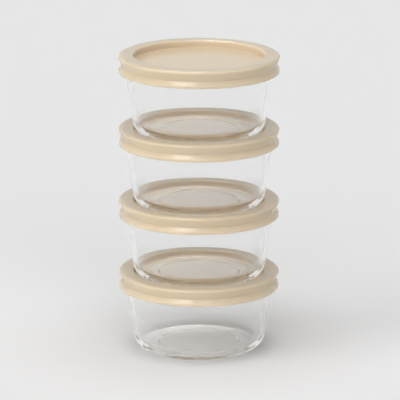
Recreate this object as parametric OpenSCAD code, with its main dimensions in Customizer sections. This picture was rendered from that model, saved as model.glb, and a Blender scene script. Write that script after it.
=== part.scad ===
// Four round glass storage containers with press-on lids, stacked.
// Every container is one pressed-glass bowl and one moulded lid, and each bowl
// stands in the recess on top of the lid below it. Millimetres, +Z up, origin
// at the middle of the bottom bowl's foot.

/* [Glass bowl] */
// Height of the bowl, foot to rim
bowl_h = 63.9; // [50:0.1:90]
// Outside diameter over the lip at the rim
rim_d = 122.8; // [100:0.2:160]
// How far the wall leans outwards, in degrees
wall_lean = 7.9; // [4:0.1:12]
// Thickness of the wall
wall_t = 3.6; // [2.5:0.1:4.5]
// Thickness of the floor, foot to inside
floor_t = 5; // [3.5:0.1:7]
// Radius of the outer corner between foot and wall
corner_r = 12; // [8:0.5:15]
// Radius of the inner corner between floor and wall
inner_corner_r = 9; // [4:0.1:12]
// Radius of the fire-polished rim, inside and outside
rim_round = 1.5; // [0.8:0.1:1.8]

/* [Lip of the bowl] */
// How far the lip stands out from the wall below it
lip_out = 0.7; // [0.4:0.1:1.2]
// Height of the lip
lip_h = 4; // [3:0.1:6]
// Rounding under the lip
lip_round = 0.4; // [0.2:0.1:0.6]

/* [Recess under the bowl] */
// Width of the flat ring around it, which the bowl stands on
foot_w = 8.4; // [5:0.1:16]
// Height of the recess
punt_h = 0.8; // [0.6:0.1:1.5]
// Width of the sloping step around it
punt_step_w = 1.6; // [1:0.1:3]
// Rounding of the step
punt_round = 0.3; // [0.1:0.1:0.6]

/* [Lid skirt] */
// Wall thickness of the lid
lid_t = 1.2; // [0.9:0.1:1.5]
// How far the shoulder stands out from the waist
shoulder_out = 2.1; // [1:0.1:4]
// Radius of the shoulder
shoulder_r = 1.6; // [1.6:0.1:2.5]
// Large radius between the flat rim and the shoulder
crown_r = 6; // [4:0.5:9]
// Where that radius passes into the shoulder, in degrees above level
crown_angle = 65; // [50:1:75]
// Height of the waist under the bowl's lip
waist_below_lip = 3.2; // [2:0.1:4.5]
// Radius of the waist groove
waist_round = 1; // [0.6:0.1:1.5]
// Height of the hem under the waist
hem_below_waist = 5.8; // [5:0.1:8]
// How far the flange along the hem stands out from the waist
flange_out = 2; // [1:0.1:4]
// Radius of the flange's upper edge
flange_round = 1.8; // [1.6:0.1:2.2]
// Height of the flange's straight band, from the hem up to that rounding
flange_h = 1.6; // [1:0.1:2]

/* [Lid recess] */
// Depth of the recess that the next bowl stands in
recess_depth = 5.5; // [4:0.1:7.5]
// How much wider the recess is at the top than at its floor, on the radius
recess_draft = 0.4; // [0.2:0.1:0.8]
// Radius of the corner between recess floor and recess wall
recess_corner_r = 1.2; // [0.8:0.1:2]
// Radius of the edge between recess wall and rim
edge_r = 1.6; // [1.6:0.1:2]

/* [Fits] */
// Gap on the radius between the bowl's lip and the waist that snaps under it
snap_gap = 0.3; // [0.3:0.05:0.8]
// Gap on the radius between a seated bowl and the edge of the recess
seat_gap = 0.6; // [0.4:0.1:1.5]

/* [Hidden] */
$fn = 96;

glass_colour = [0.86, 0.91, 0.9, 0.35];
lid_colour = [0.86, 0.78, 0.68];
wide_arc = 3;         // a rounding above this radius is a wide one
arc_step_wide = 9;    // degrees a segment on a wide rounding
arc_step_small = 18;  // degrees a segment on a small one
level = 0.01;         // a turn under this many degrees needs no arc

rim_r = rim_d / 2;
lip_z = bowl_h - lip_h;            // lower edge of the lip
lid_top = bowl_h + lid_t;          // the lid rests on the glass rim
pitch = lid_top - recess_depth;    // height of one container in the stack

// Every section is a belt run round a row of pulleys. A pulley is [r, z, bend]:
// its centre, and the radius of the rounding there, above zero where the
// material is rounded off and below zero where a hollow corner is filled.
// The outside of the material is on the left of the belt.

// Direction that the outside faces on the straight run from pulley a to b
function facing(a, b) =
    let (run = [b[0] - a[0], b[1] - a[1]])
    atan2(run[1], run[0]) + acos(min(1, (a[2] - b[2]) / norm(run)));

// The same turn in degrees, between -180 and 180. A half turn rounds material off.
function short_turn(turn) =
    turn > 180 - level ? turn - 360 : turn < -180 - level ? turn + 360 : turn;

function arc_steps(bend, turn) =
    bend == 0 || abs(turn) < level
        ? 0
        : ceil(abs(turn) / (abs(bend) > wide_arc ? arc_step_wide : arc_step_small));

function belt(pulleys) =
    let (last = len(pulleys) - 1)
    [for (i = [0 : last])
        let (
            p = pulleys[i],
            from = i == 0 ? facing(p, pulleys[1]) : facing(pulleys[i - 1], p),
            to = i == last ? from : facing(p, pulleys[i + 1]),
            turn = short_turn(to - from),
            steps = arc_steps(p[2], turn)
        )
        for (k = [0 : steps])
            let (a = from + (steps == 0 ? 0 : turn * k / steps))
            [max(0, p[0] + p[2] * cos(a)), p[1] + p[2] * sin(a)]];

module turned(pulleys) {
    rotate_extrude() polygon(belt(pulleys));
}

// The hollow bend under the bowl's lip, where the wall starts
neck = [rim_r - lip_out + lip_round, lip_z - lip_round, -lip_round];
// The outer corner, placed so that the wall between the two has its lean
foot_r = neck[0] - (sin(wall_lean) * (neck[1] - corner_r) + lip_round + corner_r) / cos(wall_lean);
corner = [foot_r, corner_r, corner_r];

// Radius at height z of a point that lies depth inside the wall's outer surface
function in_wall(z, depth) =
    foot_r + (corner_r - depth - sin(wall_lean) * (corner_r - z)) / cos(wall_lean);

// Radius of the bowl's outside at a height within its outer corner
function corner_radius_at(z) = foot_r + sqrt(pow(corner_r, 2) - pow(corner_r - z, 2));

inner_corner_z = floor_t + inner_corner_r;
rim_round_z = bowl_h - rim_round;
punt_r = foot_r - foot_w - punt_step_w;

bowl_section = [
    [0, floor_t, 0],
    [in_wall(inner_corner_z, wall_t + inner_corner_r), inner_corner_z, -inner_corner_r],
    [in_wall(rim_round_z, wall_t - rim_round), rim_round_z, rim_round],
    [rim_r - rim_round, rim_round_z, rim_round],
    [rim_r - lip_round, lip_z + lip_round, lip_round],
    neck,
    corner,
    [punt_r + punt_step_w, punt_round, punt_round],
    [punt_r, punt_h - punt_round, -punt_round],
    [0, punt_h, 0]
];

// The edge of the recess clears the bowl that stands in it
recess_r = corner_radius_at(recess_depth) + seat_gap;
// The inside of the waist clears the lip of the lid's own bowl
waist_r = rim_r + snap_gap + lid_t;
waist_z = lip_z - waist_below_lip;
hem_z = waist_z - hem_below_waist;
lid_r = waist_r + shoulder_out;
flange_r = waist_r + flange_out;
// From the middle of the crown's radius to the middle of the shoulder's
crown_to_shoulder = crown_r - shoulder_r;
crown_centre_r = lid_r - shoulder_r - crown_to_shoulder * cos(crown_angle);
crown_centre_z = lid_top - crown_r;

// The lid's upper and outer skin, from the middle of the recess out to the flange
lid_skin = [
    [0, pitch, 0],
    [recess_r - recess_draft - recess_corner_r, pitch + recess_corner_r, -recess_corner_r],
    [recess_r + edge_r, lid_top - edge_r, edge_r],
    [crown_centre_r, crown_centre_z, crown_r],
    [lid_r - shoulder_r, crown_centre_z + crown_to_shoulder * sin(crown_angle), shoulder_r],
    [waist_r + waist_round, waist_z, -waist_round],
    [flange_r - flange_round, hem_z + flange_h, flange_round]
];
hem = [flange_r - lid_t / 2, hem_z + lid_t / 2, lid_t / 2];
// The inner skin runs back round the same pulleys, lid_t behind the outer one
inner_skin = [
    for (i = [len(lid_skin) - 1 : -1 : 0])
        [lid_skin[i][0], lid_skin[i][1], lid_t - lid_skin[i][2]]
];
lid_section = concat(lid_skin, [hem], inner_skin);

module bowl(place) {
    color(glass_colour) translate([0, 0, (place - 1) * pitch]) turned(bowl_section);
}

module lid(place) {
    color(lid_colour) translate([0, 0, (place - 1) * pitch]) turned(lid_section);
}

bowl(1);  // bowl_1
bowl(2);  // bowl_2
bowl(3);  // bowl_3
bowl(4);  // bowl_4
lid(1);  // lid_1
lid(2);  // lid_2
lid(3);  // lid_3
lid(4);  // lid_4
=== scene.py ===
"""Four round glass storage containers with press-on lids, stacked, in a pale studio.

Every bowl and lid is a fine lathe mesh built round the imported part. All lengths are metres.
"""

from math import acos, atan2, ceil, cos, hypot, pi, radians, sin, sqrt, tan

import bpy
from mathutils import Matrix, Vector


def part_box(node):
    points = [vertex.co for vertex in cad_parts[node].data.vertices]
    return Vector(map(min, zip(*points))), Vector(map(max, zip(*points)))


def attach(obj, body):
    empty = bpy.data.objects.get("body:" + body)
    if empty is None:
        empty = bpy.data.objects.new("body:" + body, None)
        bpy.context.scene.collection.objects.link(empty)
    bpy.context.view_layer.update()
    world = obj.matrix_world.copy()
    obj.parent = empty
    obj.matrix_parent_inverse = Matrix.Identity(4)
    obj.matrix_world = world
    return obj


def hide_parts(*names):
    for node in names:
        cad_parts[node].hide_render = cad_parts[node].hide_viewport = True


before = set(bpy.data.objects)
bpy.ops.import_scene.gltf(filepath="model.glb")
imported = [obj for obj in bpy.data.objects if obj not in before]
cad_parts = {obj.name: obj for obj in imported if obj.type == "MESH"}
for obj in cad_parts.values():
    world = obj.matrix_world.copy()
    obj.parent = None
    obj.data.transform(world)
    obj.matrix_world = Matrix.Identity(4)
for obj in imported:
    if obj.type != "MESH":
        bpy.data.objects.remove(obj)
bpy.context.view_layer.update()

COUNT = 4

# ---------------------------------------------------------------- camera
AIM = Vector((0.0008, 0, 0.1226))
CAMERA_PITCH = radians(14.744)
CAMERA_DISTANCE = 2.8145      # level distance from the stack's axis
FOCAL_LENGTH = 322.3          # millimetres, on the default 36 mm sensor


def add_camera():
    data = bpy.data.cameras.new("camera")
    data.lens = FOCAL_LENGTH
    camera = bpy.data.objects.new("camera", data)
    rise = CAMERA_DISTANCE * tan(CAMERA_PITCH)
    camera.location = AIM + Vector((0, -CAMERA_DISTANCE, rise))
    camera.rotation_euler = (pi / 2 - CAMERA_PITCH, 0, 0)
    bpy.context.scene.collection.objects.link(camera)
    bpy.context.scene.camera = camera


# ---------------------------------------------------------------- sizes
def low_corner(node):
    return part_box(node)[0]


def high_corner(node):
    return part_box(node)[1]


# What the frame gives
bowl_h = high_corner("bowl_1")[2]
rim_r = high_corner("bowl_1")[0]
lid_top = high_corner("lid_1")[2]
lid_r = high_corner("lid_1")[0]
hem_z = low_corner("lid_1")[2]
pitch = low_corner("bowl_2")[2]

# The same sizes as the part's own, in metres
WALL_LEAN = radians(7.9)
WALL_T = 0.0036
FLOOR_T = 0.005
CORNER_R = 0.012
INNER_CORNER_R = 0.009
RIM_ROUND = 0.0015
LIP_OUT = 0.0007
LIP_H = 0.004
LIP_ROUND = 0.0004
FOOT_W = 0.0084
PUNT_H = 0.0008
PUNT_STEP_W = 0.0016
PUNT_ROUND = 0.0003
LID_T = 0.0012
SHOULDER_OUT = 0.0021
SHOULDER_R = 0.0016
CROWN_R = 0.006
CROWN_ANGLE = radians(65)
WAIST_BELOW_LIP = 0.0032
WAIST_ROUND = 0.001
FLANGE_OUT = 0.002
FLANGE_ROUND = 0.0018
FLANGE_H = 0.0016
RECESS_DEPTH = 0.0055
RECESS_DRAFT = 0.0004
RECESS_CORNER_R = 0.0012
EDGE_R = 0.0016
SEAT_GAP = 0.0006

# What only shows close up
FOOT_LIFT = 0.0001            # hairline of air under a foot
GATE_R = 0.0016               # moulding gate in the middle of the lid
GATE_DEPTH = 0.0003
GATE_ROUND = 0.0002

SEGMENTS = 256                # round the axis
ARC_STEP = radians(6)
LEVEL = radians(0.01)         # how far from a half turn still counts as one
LONGEST_RUN = 0.004           # longest piece of a straight run in a section


# ---------------------------------------------------------------- sections
# A section is a belt run round a row of pulleys. A pulley is (r, z, bend): its centre
# and the radius of the rounding there, above zero where the material is rounded off and
# below zero where a hollow corner is filled. The outside of the material is on the
# belt's left.
def facing(a, b):
    """Direction that the outside faces on the straight run from pulley a to b."""
    dr, dz = b[0] - a[0], b[1] - a[1]
    return atan2(dz, dr) + acos(min(1, (a[2] - b[2]) / hypot(dr, dz)))


def short_turn(turn):
    """The same turn between -180 and 180 degrees. A half turn rounds material off."""
    if turn > pi - LEVEL:
        return turn - 2 * pi
    if turn < -pi - LEVEL:
        return turn + 2 * pi
    return turn


def belt(pulleys):
    points = []
    last = len(pulleys) - 1
    for i, (r, z, bend) in enumerate(pulleys):
        start = max(i, 1)
        before = facing(pulleys[start - 1], pulleys[start])
        after = facing(pulleys[i], pulleys[i + 1]) if i < last else before
        turn = short_turn(after - before)
        steps = 0 if bend == 0 else ceil(abs(turn) / ARC_STEP)
        for k in range(steps + 1):
            angle = before + (turn * k / steps if steps else 0)
            points.append((max(0, r + bend * cos(angle)), z + bend * sin(angle)))
    return points


def cut_long_runs(points):
    """The same points with more between them where they lie far apart."""
    cut = [points[0]]
    for (r0, z0), (r1, z1) in zip(points, points[1:]):
        pieces = max(1, ceil(hypot(r1 - r0, z1 - z0) / LONGEST_RUN))
        for k in range(1, pieces + 1):
            cut.append((r0 + (r1 - r0) * k / pieces, z0 + (z1 - z0) * k / pieces))
    return cut


lip_z = bowl_h - LIP_H
neck = (rim_r - LIP_OUT + LIP_ROUND, lip_z - LIP_ROUND, -LIP_ROUND)
wall_run = sin(WALL_LEAN) * (neck[1] - CORNER_R) + LIP_ROUND + CORNER_R
foot_r = neck[0] - wall_run / cos(WALL_LEAN)


def in_wall(z, depth):
    """Radius at height z of a point that lies depth inside the wall's outer surface."""
    return foot_r + (CORNER_R - depth - sin(WALL_LEAN) * (CORNER_R - z)) / cos(WALL_LEAN)


def bowl_section():
    """The bowl from the middle of its floor up the inside and down to the recess below."""
    inner_corner_z = FLOOR_T + INNER_CORNER_R
    rim_round_z = bowl_h - RIM_ROUND
    return [
        (0, FLOOR_T, 0),
        (in_wall(inner_corner_z, WALL_T + INNER_CORNER_R), inner_corner_z, -INNER_CORNER_R),
        (in_wall(rim_round_z, WALL_T - RIM_ROUND), rim_round_z, RIM_ROUND),
        (rim_r - RIM_ROUND, rim_round_z, RIM_ROUND),
        (rim_r - LIP_ROUND, lip_z + LIP_ROUND, LIP_ROUND),
        neck,
        (foot_r, CORNER_R + FOOT_LIFT, CORNER_R),
        (foot_r - FOOT_W, PUNT_ROUND + FOOT_LIFT, PUNT_ROUND),
        (foot_r - FOOT_W - PUNT_STEP_W, PUNT_H - PUNT_ROUND, -PUNT_ROUND),
        (0, PUNT_H, 0),
    ]


def lid_section():
    """The lid from its moulding gate out to the hem and back along the inner skin."""
    corner_at_recess = sqrt(CORNER_R**2 - (CORNER_R - RECESS_DEPTH) ** 2)
    recess_r = foot_r + corner_at_recess + SEAT_GAP
    waist_r = lid_r - SHOULDER_OUT
    waist_z = lip_z - WAIST_BELOW_LIP
    flange_r = waist_r + FLANGE_OUT
    crown_to_shoulder = CROWN_R - SHOULDER_R
    crown_centre_r = lid_r - SHOULDER_R - crown_to_shoulder * cos(CROWN_ANGLE)
    crown_centre_z = lid_top - CROWN_R
    shoulder_z = crown_centre_z + crown_to_shoulder * sin(CROWN_ANGLE)
    recess_corner_r = recess_r - RECESS_DRAFT - RECESS_CORNER_R
    skin = [
        (recess_corner_r, pitch + RECESS_CORNER_R, -RECESS_CORNER_R),
        (recess_r + EDGE_R, lid_top - EDGE_R, EDGE_R),
        (crown_centre_r, crown_centre_z, CROWN_R),
        (lid_r - SHOULDER_R, shoulder_z, SHOULDER_R),
        (waist_r + WAIST_ROUND, waist_z, -WAIST_ROUND),
        (flange_r - FLANGE_ROUND, hem_z + FLANGE_H, FLANGE_ROUND),
    ]
    gate = [
        (0, pitch - GATE_DEPTH, 0),
        (GATE_R - GATE_ROUND, pitch - GATE_DEPTH + GATE_ROUND, -GATE_ROUND),
        (GATE_R + GATE_ROUND, pitch - GATE_ROUND, GATE_ROUND),
    ]
    hem = [(flange_r - LID_T / 2, hem_z + LID_T / 2, LID_T / 2)]
    inner_skin = [(r, z, LID_T - bend) for r, z, bend in reversed(skin)]
    return gate + skin + hem + inner_skin + [(0, pitch - LID_T, 0)]


# ---------------------------------------------------------------- meshes
def turned_mesh(name, pulleys, lift):
    """A closed lathe mesh, raised by lift, of a section with both ends on the axis."""
    points = cut_long_runs(belt(pulleys))
    rings = points[1:-1]
    verts = [(0, 0, points[0][1] + lift), (0, 0, points[-1][1] + lift)]
    for r, z in rings:
        for k in range(SEGMENTS):
            angle = 2 * pi * k / SEGMENTS
            verts.append((r * cos(angle), r * sin(angle), z + lift))

    def at(ring, k):
        return 2 + ring * SEGMENTS + k % SEGMENTS

    faces = []
    for k in range(SEGMENTS):
        faces.append((0, at(0, k), at(0, k + 1)))
        faces.append((1, at(len(rings) - 1, k + 1), at(len(rings) - 1, k)))
        for ring in range(len(rings) - 1):
            after = ring + 1
            faces.append((at(ring, k), at(after, k), at(after, k + 1), at(ring, k + 1)))
    mesh = bpy.data.meshes.new(name)
    mesh.from_pydata(verts, [], faces)
    mesh.polygons.foreach_set("use_smooth", [True] * len(mesh.polygons))
    mesh.update()
    return mesh


# ---------------------------------------------------------------- materials
# Colours, and roughness from its lowest to its highest
GLASS_TINT = (0.98, 0.985, 0.98, 1)
GLASS_SHADE = (0.99, 0.99, 0.985, 1)      # what the lamps' light is multiplied by
GLASS_IOR = 1.5
GLASS_ROUGHNESS = (0.0, 0.03)
LID_DEEP = (0.83, 0.578, 0.372, 1)        # the plastic drifts between these two
LID_PALE = (0.85, 0.598, 0.397, 1)
LID_ROUGHNESS = (0.16, 0.22)
LID_GLOW = 0.007                          # how far light runs inside the plastic
FLOOR_COLOUR = (0.92, 0.92, 0.922, 1)

# How fine each noise is, a metre
GLASS_WAVES = 45
GLASS_POLISH = 120
LID_DRIFT = 28
LID_GLOSS = 900
LID_GRAIN = 5000
FLOOR_GRAIN = 300

# Bumps: strength and height
GLASS_BUMP = (0.25, 0.0002)
LID_BUMP = (0.12, 0.00004)
FLOOR_BUMP = (0.02, 0.0001)


def new_material(name):
    material = bpy.data.materials.new(name)
    material.use_nodes = True
    tree = material.node_tree
    tree.nodes.clear()
    return material, tree


def node(tree, kind, **inputs):
    """A node with its inputs set, each to a value or to another node's output."""
    made = tree.nodes.new("ShaderNode" + kind)
    for key, value in inputs.items():
        socket = made.inputs[key.replace("_", " ")]
        if isinstance(value, bpy.types.NodeSocket):
            tree.links.new(value, socket)
        else:
            socket.default_value = value
    return made


def noise(tree, place, scale, detail=2.0):
    made = node(tree, "TexNoise", Vector=place, Scale=scale, Detail=detail)
    return made.outputs["Fac"]


def ranged(tree, value, low, high):
    """Noise, which lies mostly between 0.3 and 0.7, spread over low to high."""
    made = node(
        tree, "MapRange", Value=value, From_Min=0.3, From_Max=0.7, To_Min=low, To_Max=high,
    )
    return made.outputs["Result"]


def bumped(tree, height, strength, distance):
    made = node(tree, "Bump", Height=height, Strength=strength, Distance=distance)
    return made.outputs["Normal"]


def mixed(tree, factor, at_zero, at_one):
    """One shader where the factor is 0, and another where it is 1."""
    mix = node(tree, "MixShader")
    tree.links.new(factor, mix.inputs[0])
    tree.links.new(at_zero, mix.inputs[1])
    tree.links.new(at_one, mix.inputs[2])
    return mix.outputs[0]


def glass_material():
    material, tree = new_material("clear_glass")
    place = tree.nodes.new("ShaderNodeTexCoord").outputs["Object"]
    waves = noise(tree, place, GLASS_WAVES, detail=1.0)
    polish = noise(tree, place, GLASS_POLISH, detail=3.0)
    glass = node(
        tree, "BsdfPrincipled",
        Base_Color=GLASS_TINT, Roughness=ranged(tree, polish, *GLASS_ROUGHNESS),
        IOR=GLASS_IOR, Transmission_Weight=1.0, Normal=bumped(tree, waves, *GLASS_BUMP),
    )
    clear = node(tree, "BsdfTransparent", Color=GLASS_SHADE)
    # The lamps reach through the glass without caustics
    path = tree.nodes.new("ShaderNodeLightPath").outputs
    shown = mixed(tree, path["Is Shadow Ray"], glass.outputs[0], clear.outputs[0])
    node(tree, "OutputMaterial", Surface=shown)
    return material


def lid_material():
    material, tree = new_material("cream_plastic")
    place = tree.nodes.new("ShaderNodeTexCoord").outputs["Object"]
    drift = ranged(tree, noise(tree, place, LID_DRIFT, detail=3.0), 0.0, 1.0)
    colour = node(tree, "ValToRGB", Fac=drift)
    colour.color_ramp.elements[0].color = LID_DEEP
    colour.color_ramp.elements[1].color = LID_PALE
    gloss = noise(tree, place, LID_GLOSS)
    grain = noise(tree, place, LID_GRAIN)
    plastic = node(
        tree, "BsdfPrincipled",
        Base_Color=colour.outputs["Color"], Roughness=ranged(tree, gloss, *LID_ROUGHNESS),
        Subsurface_Weight=1.0, Subsurface_Radius=(1, 1, 1), Subsurface_Scale=LID_GLOW,
        Normal=bumped(tree, grain, *LID_BUMP),
    )
    node(tree, "OutputMaterial", Surface=plastic.outputs[0])
    return material


def floor_material():
    material, tree = new_material("pale_floor")
    place = tree.nodes.new("ShaderNodeTexCoord").outputs["Object"]
    grain = noise(tree, place, FLOOR_GRAIN)
    matt = node(
        tree, "BsdfDiffuse", Color=FLOOR_COLOUR, Normal=bumped(tree, grain, *FLOOR_BUMP),
    )
    node(tree, "OutputMaterial", Surface=matt.outputs[0])
    return material


# ---------------------------------------------------------------- the object
def add_piece(name, section, place, material):
    mesh = turned_mesh(name, section, (place - 1) * pitch)
    mesh.materials.append(material)
    piece = bpy.data.objects.new(name, mesh)
    bpy.context.scene.collection.objects.link(piece)
    return piece


def add_stack():
    glass, plastic = glass_material(), lid_material()
    for place in range(1, COUNT + 1):
        bowl = add_piece(f"glass_bowl_{place}", bowl_section(), place, glass)
        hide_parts(f"bowl_{place}")
        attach(bowl, f"bowl_{place}")
        lid = add_piece(f"press_lid_{place}", lid_section(), place, plastic)
        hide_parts(f"lid_{place}")
        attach(lid, f"lid_{place}")


# ---------------------------------------------------------------- studio
FLOOR_REACH = 30
WHITE = 0.8388                # the backdrop, as the camera, gloss and glass show it
SKY = 0.03                    # the same world as it lights matt surfaces

# A sun is: degrees from straight in front towards the right, degrees up, spread, strength.
# The wide ones light what is matt, and gloss and glass don't show them.
SOFT_SUNS = {
    "top": (0, 88, 50, 1.6),
    "left": (-60, 20, 50, 1.4),
    "front": (0, 20, 60, 1.55),
}
# The small ones, which only gloss shows, draw a streak along each flange and crown.
STREAK_SUNS = {
    "flange_streak": (-30, 50, 30, 1.3),
    "crown_streak": (-165, 60, 22, 1.8),
}


def add_floor():
    signs = [(-1, -1), (1, -1), (1, 1), (-1, 1)]
    corners = [(x * FLOOR_REACH, y * FLOOR_REACH, 0) for x, y in signs]
    mesh = bpy.data.meshes.new("floor")
    mesh.from_pydata(corners, [], [(0, 1, 2, 3)])
    mesh.materials.append(floor_material())
    floor = bpy.data.objects.new("floor", mesh)
    bpy.context.scene.collection.objects.link(floor)


def add_sun(name, azimuth, elevation, spread, strength, mirrored):
    data = bpy.data.lights.new(name, "SUN")
    data.energy = strength
    data.angle = radians(spread)
    sun = bpy.data.objects.new(name, data)
    azimuth, elevation = radians(azimuth), radians(elevation)
    level = cos(elevation)
    towards = Vector((sin(azimuth) * level, -cos(azimuth) * level, sin(elevation)))
    sun.rotation_euler = towards.to_track_quat("Z", "Y").to_euler()
    sun.visible_diffuse = not mirrored
    sun.visible_glossy = mirrored
    sun.visible_transmission = False
    bpy.context.scene.collection.objects.link(sun)


def add_world():
    """White to the camera, to gloss and through glass, and faint to what is matt."""
    world = bpy.data.worlds.new("studio")
    world.use_nodes = True
    tree = world.node_tree
    tree.nodes.clear()
    backdrop = node(tree, "Background", Color=(1, 1, 1, 1), Strength=WHITE).outputs[0]
    shown = node(tree, "Background", Color=(1, 1, 1, 1), Strength=SKY).outputs[0]
    path = tree.nodes.new("ShaderNodeLightPath").outputs
    for ray in ("Is Glossy Ray", "Is Transmission Ray", "Is Camera Ray"):
        shown = mixed(tree, path[ray], shown, backdrop)
    node(tree, "OutputWorld", Surface=shown)
    bpy.context.scene.world = world


add_camera()
add_stack()
add_floor()
for name, sun in SOFT_SUNS.items():
    add_sun(name, *sun, mirrored=False)
for name, sun in STREAK_SUNS.items():
    add_sun(name, *sun, mirrored=True)
add_world()
bpy.context.scene.view_settings.view_transform = "Standard"
# Light runs round in the thick corners of the bowls many times before it comes out
cycles = bpy.context.scene.cycles
cycles.max_bounces = 96
cycles.glossy_bounces = 96
cycles.transmission_bounces = 96
cycles.diffuse_bounces = 8
cycles.transparent_max_bounces = 32
